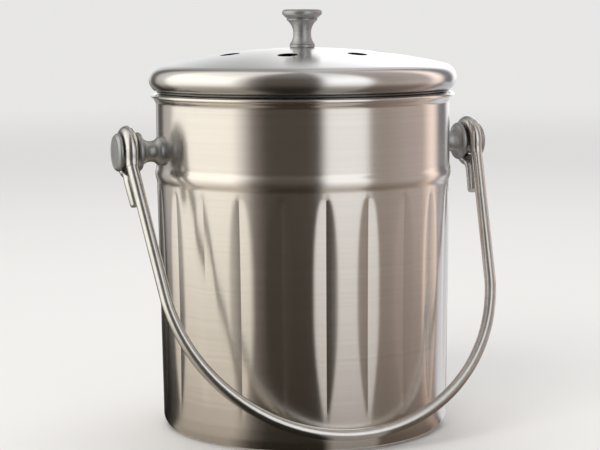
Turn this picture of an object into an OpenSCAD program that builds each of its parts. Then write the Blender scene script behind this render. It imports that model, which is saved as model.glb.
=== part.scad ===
// Compost caddy: a fluted sheet-steel can, a lift-off vented lid with its filter, and a wire bail.
// Millimetres. The origin is on the floor at the can's axis, +Z is up and the front faces -Y.
// Each piece is one module; profiles are drawn as radius and height and then revolved.

/* [Can] */
// Outer radius of the plain band
can_r = 70; // [67:0.5:73]
// Height of the mouth's lip above the floor
can_h = 159.5; // [156:0.5:164]
// Thickness of the can's and the lid's sheet
sheet = 0.8; // [0.6:0.05:0.9]
// How far the foot of the wall is drawn in
taper = 1.6; // [0.6:0.1:2.6]
// Radius of the rounded base corner
corner_r = 6; // [4:0.5:8]
// Rise of the panel pressed up in the base
panel_rise = 1.5; // [1:0.1:2.5]
// Width of the flat foot ring round that panel
foot_w = 8; // [5:0.5:12]

/* [Mouth] */
// How far the lip stands out from the band
lip_out = 2.3; // [2:0.1:2.8]
// Radius of the hem rolled on the lip
hem_r = 0.9; // [0.7:0.05:1.1]
// Radius of the bend from the band into the flare
flare_r = 2.5; // [2:0.1:3]
// Slope of the flare, from upright
flare_a = 45; // [40:1:50]

/* [Ring] */
// Distance from the lip down to the middle of the rolled ring
ring_drop = 37.5; // [34:0.5:40]
// Height of the rolled ring
ring_h = 9; // [7:0.5:11]
// How far the ring stands out
ring_out = 0.8; // [0.5:0.1:1.2]
// Radius of the ring's crest
crest_r = 8; // [6:0.5:9]

/* [Flutes] */
// Number of flutes round the wall
flute_count = 22; // [18:1:24]
// Depth of each flute at its crease
flute_depth = 0.7; // [0.5:0.05:0.9]
// Width of each flute
flute_w = 12.4; // [9:0.2:14]
// Plain wall left between the ring and the flutes
flute_gap = 2; // [1:0.5:5]
// Height of the flutes' lower ends
flute_foot = 14; // [12:0.5:24]
// Length over which a flute fades out at its top
flute_top_run = 30; // [20:1:36]
// Length over which a flute fades out at its foot
flute_foot_run = 48; // [30:1:56]
// Turn of the first crease from the front
flute_turn = -11.6; // [-16:0.2:16]

/* [Lid] */
// How far the lid's rolled edge stands out beyond the can's band
lid_out = 3.2; // [2.6:0.1:4.5]
// Radius of the rolled edge's section
roll_r = 6.8; // [6:0.1:7.2]
// Height of the roll's middle above the lip
roll_lift = 7; // [6.8:0.1:8]
// Rise of the dome's crown above the roll's middle
dome_h = 14.3; // [12:0.1:17]
// How far the roll curls in under the lid, past its lowest point
roll_curl = 30; // [15:1:45]
// Number of vent holes
vent_count = 7; // [5:1:8]
// Diameter of a vent hole
vent_d = 9.4; // [7:0.2:11]
// Radius of the circle of vent holes
vent_ring_r = 38.4; // [30:0.2:44]
// Turn of the first vent hole from the front
vent_turn = -30; // [-50:1:50]

/* [Liner] */
// Play between the liner's skirt and the mouth
skirt_play = 0.8; // [0.6:0.1:1.2]
// Thickness of the liner's sheet
liner_t = 0.8; // [0.6:0.05:1]
// Depth of the skirt below the lip
skirt_h = 10; // [9:0.5:14]
// Radius of the bead that seats in the flare
seat_bead_r = 1.2; // [1:0.05:1.3]
// Angle on the flare at which the bead seats
seat_a = 35; // [30:1:40]
// Gap between the liner's flange and the filter pad inside it
flange_gap = 1.9; // [1:0.1:2.9]

/* [Retainer] */
// Number of bayonet tabs
tab_count = 3; // [2:1:4]
// Reach of a liner tab inwards
tab_reach = 3.6; // [3:0.1:4.4]
// Angle that a liner tab spans
tab_a = 24; // [16:1:28]
// Angle that a retainer lug spans
lug_a = 28; // [20:1:30]
// Thickness of a liner tab
tab_t = 1.2; // [1:0.1:1.6]
// Radial gap between the retainer and the tabs
bayonet_play = 0.8; // [0.5:0.1:1.2]
// Thickness of the retainer's floor and wall
retainer_t = 2; // [1.6:0.1:2.4]
// Height of the retainer's wall
retainer_h = 6.4; // [5.5:0.1:7]
// Thickness of a retainer lug
retainer_lug_t = 1.8; // [1.4:0.1:2.2]
// Width of the grille's bars
bar_w = 3; // [2.4:0.1:4]
// Number of spokes in the grille
spoke_count = 8; // [6:1:10]
// Number of window rings in the grille
window_rings = 3; // [3:1:4]
// Radius of the grille's hub
hub_r = 10; // [8:0.5:12]
// Length of the finger grip under the hub
grip_l = 34; // [24:1:44]
// Depth of the finger grip
grip_h = 7; // [5:0.5:9]

/* [Filter] */
// Play between the filter pad and the retainer's wall
filter_play = 0.6; // [0.4:0.1:1.5]
// Thickness of the filter pad
filter_t = 8; // [6:0.5:10]

/* [Knob] */
// Height of the knob
knob_h = 18.2; // [16:0.2:21]
// Radius of the knob's head
knob_r = 9.5; // [8:0.1:11]
// Half thickness of the head's round edge
knob_edge_r = 1.7; // [1.4:0.1:2]
// Radius of the step under the head
knob_step_r = 7.7; // [7:0.1:8]
// Thickness of that step
knob_step_t = 1.2; // [1:0.1:1.6]
// Radius of the waist
knob_waist_r = 3.9; // [3.5:0.1:4.5]
// Height of the waist above the knob's foot
knob_waist_z = 7.3; // [6:0.1:8]
// Radius of the knob's foot
knob_foot_r = 6; // [5.6:0.1:7]
// Height of the straight rim round the foot
knob_foot_t = 1.6; // [1.2:0.1:2.2]

/* [Lugs] */
// Plain wall left between the rolled ring and a lug's foot
lug_gap = 0.6; // [0.4:0.1:3]
// Length of a lug out from the wall
lug_l = 22.7; // [22:0.1:25]
// Radius of the lug's foot
lug_foot_r = 6.7; // [6:0.1:7.5]
// Radius of the lug's neck
lug_neck_r = 4.85; // [4.2:0.05:5.2]
// Distance from the wall to the narrow part of the neck
lug_neck_x = 5.5; // [4.5:0.1:6.5]
// Radius of the inner flange
lug_flange_r = 9.2; // [9:0.1:10.5]
// Thickness of the inner flange
lug_flange_t = 3.2; // [2.6:0.1:3.4]
// Length of the flare from the neck out to the inner flange
lug_flare_l = 4.5; // [3:0.1:4.8]
// Radius of the groove's floor
groove_r = 6.2; // [5.6:0.1:6.4]
// Side play of the bail's eye in the groove, each side
groove_play = 0.25; // [0.2:0.05:0.4]
// Radius of the outer cap
cap_r = 8.85; // [8.6:0.05:10.5]
// Thickness of the outer cap
cap_t = 2.7; // [2.2:0.1:3]

/* [Bail] */
// Radius of the bail's wire
wire_r = 2.7; // [2.4:0.05:2.9]
// Radius of the wire at the eyes
eye_wire_r = 3; // [2.95:0.05:3.1]
// Play between the eye and the groove's floor
eye_play = 0.3; // [0.2:0.05:0.6]
// How far the bail reaches past the height of its axis above the floor
bail_past = 10.3; // [8:0.1:13]
// Distance from the can's band out to the bow's wire
bow_out = 11; // [10:0.1:13]
// Offset of the bail's plane from the lugs' axis
bail_offset = 6.5; // [5.5:0.1:7.5]
// Radius of the bend from the eye into the leg
leg_bend_r = 10; // [8:0.5:12]
// Offset of the cut tail behind the lugs' axis
tail_offset = 2.3; // [1.5:0.1:3.5]
// Radius of the bend from the eye into the tail
tail_bend_r = 7; // [6:0.5:9]
// Reach of the tail from the lugs' axis
tail_reach = 25; // [22:0.5:30]
// Lean of the tail towards the can
tail_lean = 7; // [0:1:10]
// Gap between the hanging bail and the wall
bail_gap = 0.3; // [0.2:0.05:0.6]

/* [Fasteners] */
// Radius of the screws' shanks
screw_r = 2; // [1.5:0.1:2.2]
// Play of a shank in its threaded hole
thread_play = 0.05; // [0.03:0.01:0.1]
// Play of a shank in its clearance hole
hole_play = 0.25; // [0.15:0.05:0.5]
// Radius of the screws' heads
head_r = 4; // [3.4:0.1:4.6]
// Height of the screws' heads
head_h = 2.2; // [1.8:0.1:2.8]
// Width of the screwdriver slot
slot_w = 1.1; // [0.8:0.1:1.4]
// Length of a screw's shank beyond the sheet
shank_l = 9; // [7:0.5:10.5]
// Radius of the washers
washer_r = 6; // [5.2:0.1:7]
// Thickness of the washers
washer_t = 1; // [0.8:0.1:1.2]

/* [Hidden] */
$fn = 128;

// Gap left between pieces that lie face to face
seat = 0.1;
// Running gap between pieces that move past each other
run_gap = 0.3;
// How far a cutting tool passes through what it cuts
over = 1;
// Facets of the large circles
fine = 720;
// Widest step along an arc in a sheet's outline, and in the wire
arc_step = 6;
// Sides of the bent wire
wire_sides = 16;

// Can: heights and the leaning wall, which is tangent to the base corner
ring_z = can_h - ring_drop;
wall_top = ring_z - ring_h / 2;
flute_top = wall_top - flute_gap;
corner_c = [can_r - taper - corner_r, corner_r];
wall_run = [can_r, wall_top] - corner_c;
corner_a = atan2(wall_run[1], wall_run[0]) - acos(corner_r / norm(wall_run));
wall_foot = polar(corner_c, corner_r, corner_a);
wall_lean = -corner_a;
panel_r = corner_c[0] - foot_w - panel_rise;
band_z = flute_foot - flute_gap;

// Ring: crest and hollow arcs that meet at this angle
ring_a = 2 * atan(ring_out / (ring_h / 2));
hollow_r = ring_h / 2 / sin(ring_a) - crest_r;

// Mouth: the flare's straight stretch runs into the hem
hem_c = [can_r + lip_out - hem_r, can_h - hem_r];
flare_dir = [sin(flare_a), cos(flare_a)];
hem_face = hem_c + sheet / 2 * [flare_dir[1], -flare_dir[0]];
flare_run = (hem_face[0] - can_r - flare_r * (1 - cos(flare_a))) / flare_dir[0];
flare_z = hem_face[1] - flare_run * flare_dir[1] - flare_r * sin(flare_a);
flare_c = [can_r + flare_r, flare_z];

// Lid: the dome's radius makes it tangent to the rolled edge
roll_c = [can_r + lid_out - roll_r, can_h + roll_lift];
crown_z = roll_c[1] + dome_h;
dome_r = (roll_c[0] * roll_c[0] + dome_h * dome_h - roll_r * roll_r) / (2 * (dome_h - roll_r));
dome_c = [0, crown_z - dome_r];
dome_a = asin(roll_c[0] / (dome_r - roll_r));

// Liner and retainer
seat_c = flare_c + (flare_r + sheet + run_gap + seat_bead_r) * [-cos(seat_a), sin(seat_a)];
skirt_r = can_r - sheet - skirt_play;
skirt_foot = can_h - skirt_h;
liner_in_r = skirt_r - liner_t;
liner_top = roll_c[1] - roll_r - seat / 2;
tab_in_r = liner_in_r - tab_reach;
retainer_r = tab_in_r - bayonet_play;
retainer_lug_r = liner_in_r - bayonet_play;
retainer_z = skirt_foot + tab_t / 2;
retainer_lug_z = skirt_foot + tab_t + run_gap;
filter_r = retainer_r - retainer_t - filter_play;
filter_z = retainer_z + retainer_t + seat;
liner_flange_r = filter_r + flange_gap;

// Lugs and bail
lug_z = ring_z + ring_h / 2 + lug_gap + lug_foot_r;
groove_w = 2 * (eye_wire_r + groove_play);
cap_x = lug_l - cap_t;
flange_x = cap_x - groove_w - lug_flange_t;
eye_x = can_r + cap_x - groove_w / 2;
eye_r = groove_r + eye_play + eye_wire_r;
leg_a = acos((bail_offset + leg_bend_r) / (eye_r + leg_bend_r));
tail_a = acos((tail_offset + tail_bend_r) / (eye_r + tail_bend_r));
leg_z = (eye_r + leg_bend_r) * sin(leg_a);
tail_z = (eye_r + tail_bend_r) * sin(tail_a);
bow_r = can_r + bow_out;
bail_reach = lug_z + bail_past;
bow_drop = bail_reach - bow_r;
// The leg is bent inwards under its eye until it runs into the bow without a kink
leg_run = [eye_x - leg_bend_r, bow_drop - leg_z];
leg_lean = acos((bow_r - leg_bend_r) / norm(leg_run)) - atan2(leg_run[1], leg_run[0]);
bow_rest_r = can_r - taper + wire_r + bail_gap;
bail_a = atan2(bail_reach, bail_offset) - acos(bow_rest_r / norm([bail_reach, bail_offset]));

function polar(c, r, a) = c + r * [cos(a), sin(a)];
// Outer radius of the leaning wall at height z
function wall_r(z) =
    wall_foot[0] + (can_r - wall_foot[0]) * (z - wall_foot[1]) / (wall_top - wall_foot[1]);
// Radius of the arc that leaves a straight line and rises by h over a run
function run_r(run, h) = (run * run + h * h) / (2 * h);

function unit(v) = v / norm(v);
function backwards(list) = [for (i = [len(list) - 1:-1:0]) list[i]];
// Points along an arc, from angle a0 to a1, no more than step apart
function arc(c, r, a0, a1, step = arc_step) =
    let (n = ceil(abs(a1 - a0) / step)) [for (i = [0:n]) polar(c, r, a0 + (a1 - a0) * i / n)];

// Slab with a full round edge, from the axis out to r, between heights z and z + t
module round_edge_slab(r, z, t) {
    translate([0, z]) square([r - t / 2, t]);
    intersection() {
        translate([r - t / 2, z + t / 2]) circle(t / 2);
        translate([r - t / 2, z - t]) square([t, 3 * t]);
    }
}

// Stretch from height z0, radius r0, hollowed by an arc that ends upright at height z1, radius r1
module hollow_neck(r0, z0, r1, z1) {
    bend = run_r(abs(z1 - z0), r0 - r1);
    difference() {
        translate([0, min(z0, z1)]) square([r0, abs(z1 - z0)]);
        translate([r1 + bend, z1]) circle(bend);
    }
}

// Sector of a flat-sided ring, as a solid
module ring_block(r0, r1, z, t, mid, span) {
    rotate([0, 0, mid - span / 2]) rotate_extrude(angle = span) translate([r0, z]) square([r1 - r0, t]);
}

// Outline of the can's base up to the flutes, at a depth into the sheet: panel, foot ring and corner
function base_line(depth) = let (fold = depth * tan(22.5)) concat(
    [[0, panel_rise + depth], [panel_r + fold, panel_rise + depth], [panel_r + panel_rise + fold, depth]],
    arc(corner_c, corner_r - depth, -90, corner_a),
    [[wall_r(band_z) - depth, band_z]]);

// Outline of the can's top, at a depth into the sheet: rolled ring, plain band and flare
function mouth_line(depth) = concat(
    arc([can_r + hollow_r, wall_top], hollow_r + depth, 180, 180 - ring_a),
    arc([can_r + ring_out - crest_r, ring_z], crest_r - depth, -ring_a, ring_a),
    arc([can_r + hollow_r, ring_z + ring_h / 2], hollow_r + depth, 180 + ring_a, 180),
    arc(flare_c, flare_r + depth, 180, 180 - flare_a),
    [hem_face + depth * [-flare_dir[1], flare_dir[0]]]);

// Outline of the lid, at a depth into the sheet: dome and rolled edge
function lid_line(depth) = concat(
    arc(dome_c, dome_r - depth, 90, 90 - dome_a, dome_a / 16),
    arc(roll_c, roll_r - depth, 90 - dome_a, -90 - roll_curl));

// Sheet between an outline and the same outline taken at the sheet's thickness
module sheet_section(outer, inner) {
    polygon(concat(outer, backwards(inner)));
}

// Vee section of a flute, drawn as depth into the wall and width, shifted in by the sheet inside
module flute_section(inset) {
    half = flute_w / 2;
    slope = (flute_depth - half * half / (2 * can_r)) / half;
    side = half + over;
    polygon([[-flute_depth - inset, 0], [side * slope - flute_depth - inset, side], [over, side],
        [over, -side], [side * slope - flute_depth - inset, -side]]);
}

// Fading end of a flute: the section swings out of the wall on a long arc
module flute_end(inset, run, first) {
    arc_r = run_r(run, flute_depth);
    arc_a = asin(run / arc_r) * 1.1;
    translate([arc_r - flute_depth, 0, 0]) rotate([90, 0, 0])
        rotate_extrude(angle = arc_a, start = first ? 180 : 180 - arc_a, $fn = fine)
            translate([arc_r - flute_depth, 0]) mirror([1, 0]) flute_section(inset);
}

// Tools that press all flutes: each has a straight stretch and two fading ends along the leaning wall
module flute_tools(inset) {
    len = flute_top - flute_foot;
    for (i = [0:flute_count - 1])
        rotate([0, 0, flute_turn - 90 + i * 360 / flute_count])
            translate([wall_r(flute_foot), 0, flute_foot]) rotate([0, wall_lean, 0]) {
                translate([0, 0, flute_foot_run])
                    linear_extrude(len - flute_foot_run - flute_top_run) flute_section(inset);
                translate([0, 0, flute_foot_run]) flute_end(inset, flute_foot_run, true);
                translate([0, 0, len - flute_top_run]) flute_end(inset, flute_top_run, false);
            }
}

// Fluted wall: grooves outside and matching ribs inside, so that the sheet keeps its thickness
module fluted_band() {
    band_h = wall_top - band_z;
    difference() {
        translate([0, 0, band_z]) cylinder(h = band_h, r1 = wall_r(band_z), r2 = can_r);
        flute_tools(0);
        difference() {
            translate([0, 0, band_z]) cylinder(h = band_h, r1 = wall_r(band_z) - sheet, r2 = can_r - sheet);
            flute_tools(sheet);
        }
    }
}

module pail_body() {
    color([0.74, 0.72, 0.69]) difference() {
        union() {
            rotate_extrude() sheet_section(base_line(0), base_line(sheet));
            fluted_band();
            rotate_extrude() sheet_section(mouth_line(0), mouth_line(sheet));
            rotate_extrude() translate(hem_c) circle(hem_r, $fn = 32);
        }
        translate([0, 0, lug_z]) rotate([0, 90, 0])
            cylinder(h = 2 * (can_r + over), r = screw_r + hole_play, center = true);
    }
}

// Spool-shaped lug on the +X side, with a threaded hole in its foot that follows the wall
module lug() {
    translate([0, 0, lug_z]) difference() {
        rotate([0, 90, 0]) rotate_extrude() translate([0, can_r]) {
            translate([0, -over]) square([lug_foot_r, 2 * over]);
            hollow_neck(lug_foot_r, over, lug_neck_r, lug_neck_x);
            translate([0, lug_neck_x]) square([lug_neck_r, flange_x - lug_neck_x]);
            hollow_neck(lug_flange_r - lug_flange_t / 2, flange_x, lug_neck_r, flange_x - lug_flare_l);
            round_edge_slab(lug_flange_r, flange_x, lug_flange_t);
            translate([0, flange_x + lug_flange_t]) square([groove_r, groove_w]);
            round_edge_slab(cap_r, cap_x, cap_t);
        }
        cylinder(h = 4 * lug_flange_r, r = can_r, center = true);
        rotate([0, 90, 0]) cylinder(h = can_r + shank_l + over, r = screw_r + thread_play);
    }
}

// Slotted screw along +Z: its head lies below z = 0 and its shank rises to length l
module screw(l) {
    difference() {
        union() {
            translate([0, 0, -head_h]) cylinder(h = head_h, r = head_r);
            cylinder(h = l, r = screw_r);
        }
        translate([-head_r - over, -slot_w / 2, -head_h - over])
            cube([2 * (head_r + over), slot_w, head_h / 2 + over]);
    }
}

// Curved washer between the +X screw's head and the inside of the wall
module lug_washer() {
    wall_in = can_r - sheet - seat / 2;
    translate([0, 0, lug_z]) difference() {
        intersection() {
            cylinder(h = 3 * washer_r, r = wall_in, center = true);
            rotate([0, 90, 0]) cylinder(h = can_r, r = washer_r);
        }
        cylinder(h = 4 * washer_r, r = wall_in - washer_t, center = true);
        rotate([0, 90, 0]) cylinder(h = can_r, r = screw_r + hole_play);
    }
}

// Screw of the +X lug: its head's flat face bears on the edges of the curved washer
module lug_screw() {
    washer_in = can_r - sheet - seat / 2 - washer_t;
    head_x = sqrt(washer_in * washer_in - head_r * head_r) - seat / 2;
    translate([head_x, 0, lug_z]) rotate([0, 90, 0]) screw(can_r + shank_l - head_x);
}

module left_lug() { color([0.62, 0.63, 0.63]) mirror([1, 0, 0]) lug(); }
module right_lug() { color([0.62, 0.63, 0.63]) lug(); }
module left_lug_washer() { color([0.7, 0.7, 0.72]) mirror([1, 0, 0]) lug_washer(); }
module right_lug_washer() { color([0.7, 0.7, 0.72]) lug_washer(); }
module left_lug_screw() { color([0.6, 0.6, 0.62]) mirror([1, 0, 0]) lug_screw(); }
module right_lug_screw() { color([0.6, 0.6, 0.62]) lug_screw(); }

// Round wire of radius w swept along a path whose direction never comes near Y
module wire(path, w) {
    last = len(path) - 1;
    rings = [for (i = [0:last]) let (
        t = unit(path[min(i + 1, last)] - path[max(i - 1, 0)]),
        u = unit([0, 1, 0] - t[1] * t),
        v = cross(t, u))
        [for (j = [0:wire_sides - 1]) let (a = 360 * j / wire_sides)
            path[i] + w * (cos(a) * u + sin(a) * v)]];
    sides = [for (i = [0:last - 1], j = [0:wire_sides - 1]) let (
        a = i * wire_sides + j,
        b = i * wire_sides + (j + 1) % wire_sides)
        each [[a, a + wire_sides, b + wire_sides], [a, b + wire_sides, b]]];
    polyhedron([for (ring = rings) each ring], concat(sides,
        [[for (j = [0:wire_sides - 1]) j]],
        [[for (j = [wire_sides - 1:-1:0]) last * wire_sides + j]]));
}

// Points of a flat arc, placed upright across the bail (side view) or along it (front view)
function side_view(points) = [for (p = points) [eye_x, p[0], p[1]]];
function front_view(points, y) = [for (p = points) [p[0], y, p[1]]];

// Path out of the +X eye: it starts inside the eye's end, bends downwards, then leans inwards
function out_of_eye(end_a, turn, bend_r, y, z, lean) = concat(
    side_view(arc([0, 0], eye_r, end_a - turn * arc_step, end_a - turn)),
    side_view(arc(polar([0, 0], eye_r + bend_r, end_a), bend_r, end_a - 180, turn > 0 ? 0 : -180)),
    front_view(arc([eye_x - bend_r, z], bend_r, -lean / 2, -lean), y));

module bail_handle() {
    leg = out_of_eye(180 + leg_a, 1, leg_bend_r, -bail_offset, -leg_z, leg_lean);
    tail = out_of_eye(-tail_a, -1, tail_bend_r, tail_offset, -tail_z, tail_lean);
    cut = tail[len(tail) - 1] + (tail_reach - tail_z) * [-sin(tail_lean), 0, -cos(tail_lean)];
    color([0.76, 0.75, 0.73]) translate([0, 0, lug_z]) rotate([-bail_a, 0, 0]) {
        wire(concat(leg, front_view(arc([0, -bow_drop], bow_r, -leg_lean, leg_lean - 180), -bail_offset),
            backwards([for (p = leg) [-p[0], p[1], p[2]]])), wire_r);
        for (side = [0, 1]) mirror([side, 0, 0]) {
            translate([eye_x, 0, 0]) rotate([90, 0, 90])
                rotate_extrude(angle = 180 + leg_a + tail_a, start = -tail_a)
                    translate([eye_r, 0]) circle(eye_wire_r, $fn = 48);
            wire(concat(tail, [cut]), wire_r);
        }
    }
}

module lid_shell() {
    color([0.8, 0.79, 0.77]) difference() {
        rotate_extrude() sheet_section(lid_line(0), lid_line(sheet));
        for (i = [0:vent_count - 1]) rotate([0, 0, vent_turn - 90 + i * 360 / vent_count])
            translate([vent_ring_r, 0, roll_c[1]]) cylinder(h = dome_h + over, d = vent_d);
        translate([0, 0, roll_c[1]]) cylinder(h = dome_h + over, r = screw_r + hole_play);
    }
}

// Ring under the lid: flange, seating bead, skirt, inward tabs and a stop beside each tab
module lid_liner() {
    stop_a = 3;
    color([0.7, 0.69, 0.67]) {
        rotate_extrude() {
            translate([liner_flange_r, liner_top - liner_t]) square([seat_c[0] - liner_flange_r, liner_t]);
            translate(seat_c) circle(seat_bead_r, $fn = 48);
            translate([liner_in_r, skirt_foot]) square([liner_t, seat_c[1] - skirt_foot]);
        }
        for (i = [0:tab_count - 1]) {
            mid = i * 360 / tab_count;
            ring_block(tab_in_r, liner_in_r + liner_t / 2, skirt_foot, tab_t, mid, tab_a);
            ring_block(tab_in_r, liner_in_r + liner_t / 2, skirt_foot, retainer_lug_t + tab_t,
                mid - (lug_a + 2 * stop_a) / 2, stop_a);
        }
    }
}

module lid_knob() {
    head_z = knob_h - 2 * knob_edge_r;
    color([0.6, 0.61, 0.62]) translate([0, 0, crown_z]) difference() {
        rotate_extrude() {
            square([knob_foot_r, knob_foot_t]);
            hollow_neck(knob_foot_r, knob_foot_t, knob_waist_r, knob_waist_z);
            hollow_neck(knob_step_r - knob_step_t / 2, head_z - knob_step_t, knob_waist_r, knob_waist_z);
            round_edge_slab(knob_step_r, head_z - knob_step_t, knob_step_t);
            round_edge_slab(knob_r, head_z, 2 * knob_edge_r);
        }
        translate([0, 0, -over]) cylinder(h = shank_l + 2 * over, r = screw_r + thread_play);
    }
}

module knob_washer() {
    color([0.7, 0.7, 0.72]) translate([0, 0, crown_z - sheet - seat - washer_t]) difference() {
        cylinder(h = washer_t, r = washer_r);
        translate([0, 0, -over]) cylinder(h = washer_t + 2 * over, r = screw_r + hole_play);
    }
}

module knob_screw() {
    head_z = crown_z - sheet - seat - washer_t - seat / 2;
    color([0.6, 0.6, 0.62]) translate([0, 0, head_z]) screw(crown_z + shank_l - head_z);
}

// Windows of the grille: rings of slots between the hub and the wall, divided by spokes
module grille_windows() {
    pitch = (retainer_r - retainer_t - hub_r) / window_rings;
    difference() {
        for (i = [0:window_rings - 1]) difference() {
            circle(hub_r + (i + 1) * pitch - bar_w);
            circle(hub_r + i * pitch);
        }
        for (i = [0:spoke_count - 1]) rotate(i * 360 / spoke_count)
            translate([0, -bar_w / 2]) square([retainer_r, bar_w]);
    }
}

module filter_retainer() {
    color([0.2, 0.21, 0.22]) {
        translate([0, 0, retainer_z]) difference() {
            cylinder(h = retainer_h, r = retainer_r);
            translate([0, 0, retainer_t])
                cylinder(h = retainer_h, r = retainer_r - retainer_t);
            translate([0, 0, -over]) linear_extrude(retainer_t + 2 * over) grille_windows();
        }
        for (i = [0:tab_count - 1]) ring_block(retainer_r - retainer_t / 2, retainer_lug_r,
            retainer_lug_z, retainer_lug_t, i * 360 / tab_count, lug_a);
        translate([-grip_l / 2, -bar_w / 2, retainer_z - grip_h])
            cube([grip_l, bar_w, grip_h + retainer_t / 2]);
    }
}

module charcoal_filter() {
    color([0.1, 0.1, 0.1]) translate([0, 0, filter_z]) cylinder(h = filter_t, r = filter_r);
}

pail_body();
left_lug();
right_lug();
left_lug_washer();
right_lug_washer();
left_lug_screw();
right_lug_screw();
bail_handle();
lid_shell();
lid_liner();
lid_knob();
knob_washer();
knob_screw();
filter_retainer();
charcoal_filter();
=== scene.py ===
"""Looks of the fluted steel compost caddy, laid out as a Blender add-on and run as a script."""

import math

import bpy
from mathutils import Matrix, Vector


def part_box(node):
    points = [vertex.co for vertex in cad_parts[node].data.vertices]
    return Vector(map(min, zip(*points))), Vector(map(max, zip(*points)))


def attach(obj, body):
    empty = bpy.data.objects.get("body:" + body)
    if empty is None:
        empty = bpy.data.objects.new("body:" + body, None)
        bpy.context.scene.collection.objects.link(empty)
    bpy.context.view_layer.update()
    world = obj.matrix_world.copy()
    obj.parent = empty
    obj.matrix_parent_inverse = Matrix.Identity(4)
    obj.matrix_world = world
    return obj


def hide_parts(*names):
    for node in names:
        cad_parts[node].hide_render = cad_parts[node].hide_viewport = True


bl_info = {
    "name": "Fluted Compost Caddy",
    "version": (1, 0, 0),
    "blender": (4, 5, 0),
    "location": "View3D > Sidebar > Caddy",
    "description": "Models a steel compost caddy with a fluted wall, a vented lid and a wire bail",
    "category": "Object",
}

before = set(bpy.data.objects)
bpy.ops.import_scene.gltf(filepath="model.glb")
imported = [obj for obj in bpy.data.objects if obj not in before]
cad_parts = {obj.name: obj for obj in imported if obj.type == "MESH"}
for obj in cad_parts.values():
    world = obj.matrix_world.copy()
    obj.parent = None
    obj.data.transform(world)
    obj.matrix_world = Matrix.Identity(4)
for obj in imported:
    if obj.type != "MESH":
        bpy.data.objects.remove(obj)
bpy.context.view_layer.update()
MM = 0.001

# The can's rolled ring: half its height, how far it stands out, and the radius of its outward curve
RING_HALF = 4.5 * MM
RING_OUT = 0.8 * MM
RING_ARC = 8 * MM
# Steps of the turned can between one flute and the next
FLUTE_STEPS = 20
# Distances under which points are merged: along an outline, by the Screw modifier, and after it
OUTLINE_MERGE = 1e-7
SCREW_MERGE = 1e-6
TURNED_MERGE = 2e-6
# The camera: width of the photograph's frame and focal length in its pixels, and sensor width in millimetres
PHOTO_WIDTH = 600
FOCAL_PIXELS = 1814.6
SENSOR_WIDTH = 36
# The studio in reflections: its radius in metres, and how brightly it glows
STUDIO_RADIUS = 3
STUDIO_GLOW = 1.12
# Colour that the floor runs out into
BACKDROP = (0.80, 0.795, 0.785, 1)


def size(name, description, default, low, high):
    """A length of the caddy, in metres, that the sidebar shows."""
    return bpy.props.FloatProperty(
        name=name, description=description, default=default * MM, min=low * MM, max=high * MM,
        unit="LENGTH", precision=4,
    )


def angle(name, description, default, low, high):
    """An angle of the caddy, given in degrees."""
    return bpy.props.FloatProperty(
        name=name, description=description, default=math.radians(default),
        min=math.radians(low), max=math.radians(high), unit="ROTATION",
    )


def colour(name, description, default):
    """A finish's main colour."""
    return bpy.props.FloatVectorProperty(
        name=name, description=description, default=default, subtype="COLOR", min=0, max=1
    )


class CaddyCanSizes(bpy.types.PropertyGroup):
    """Sizes of the fluted can."""

    radius: size("Radius", "Outer radius of the plain band", 70, 67, 73)
    height: size("Height", "Height of the lip above the floor", 159.5, 156, 164)
    sheet: size("Sheet", "Thickness of the can's and the lid's sheet", 0.8, 0.6, 0.9)
    taper: size("Taper", "How far the foot of the wall is drawn in", 1.6, 0.6, 2.6)
    corner: size("Base corner", "Radius of the rounded base corner", 6, 4, 8)
    ring_height: size("Ring height", "Height of the rolled ring's middle", 122, 118, 126)
    flute_depth: size("Flute depth", "Depth of a flute at its crease", 0.66, 0.4, 1)
    flute_half: size("Flute half width", "Distance from a flute's crease to its edge", 6.2, 4.5, 7)
    flute_blend: size("Flute edge", "Width over which a flute's edge is rounded", 1.3, 0.5, 3)
    flute_top: size("Flute top", "Height of the flutes' upper ends", 115.5, 110, 116)
    flute_foot: size("Flute foot", "Height of the flutes' lower ends", 14, 12, 24)
    top_run: size("Top fade", "Length over which a flute fades out at its top", 40, 12, 50)
    foot_run: size("Foot fade", "Length over which a flute fades out at its foot", 50, 20, 60)
    bluntness: bpy.props.FloatProperty(
        name="Bluntness", description="Power that rounds a flute's upper end: 1 is pointed, less is blunter",
        default=0.42, min=0.3, max=1,
    )
    flute_turn: angle("Flute turn", "Turn of the first crease from the front", -11.6, -16, 16)
    flutes: bpy.props.IntProperty(name="Flutes", description="Number of flutes", default=22, min=18, max=24)


class CaddyLidSizes(bpy.types.PropertyGroup):
    """Sizes of the lid and its knob."""

    radius: size("Radius", "Outer radius of the rolled edge", 73.2, 72.6, 74.5)
    roll: size("Roll", "Radius of the rolled edge's section", 6.8, 6, 7.2)
    roll_height: size("Roll height", "Height of the roll's middle above the floor", 166.5, 164, 170)
    dome: size("Dome", "Rise of the crown above the roll's middle", 14.3, 12, 17)
    vent: size("Vent hole", "Radius of a vent hole", 4.7, 3.5, 5.5)
    vent_circle: size("Vent circle", "Radius of the circle of vent holes", 38.4, 30, 44)
    vent_turn: angle("Vent turn", "Turn of the first vent hole from the front", -30, -50, 50)
    vents: bpy.props.IntProperty(name="Vents", description="Number of vent holes", default=7, min=5, max=8)
    knob: size("Knob radius", "Radius of the knob's head", 9.5, 8, 11)
    knob_height: size("Knob height", "Height of the knob above the dome", 18.2, 16, 21)


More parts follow.
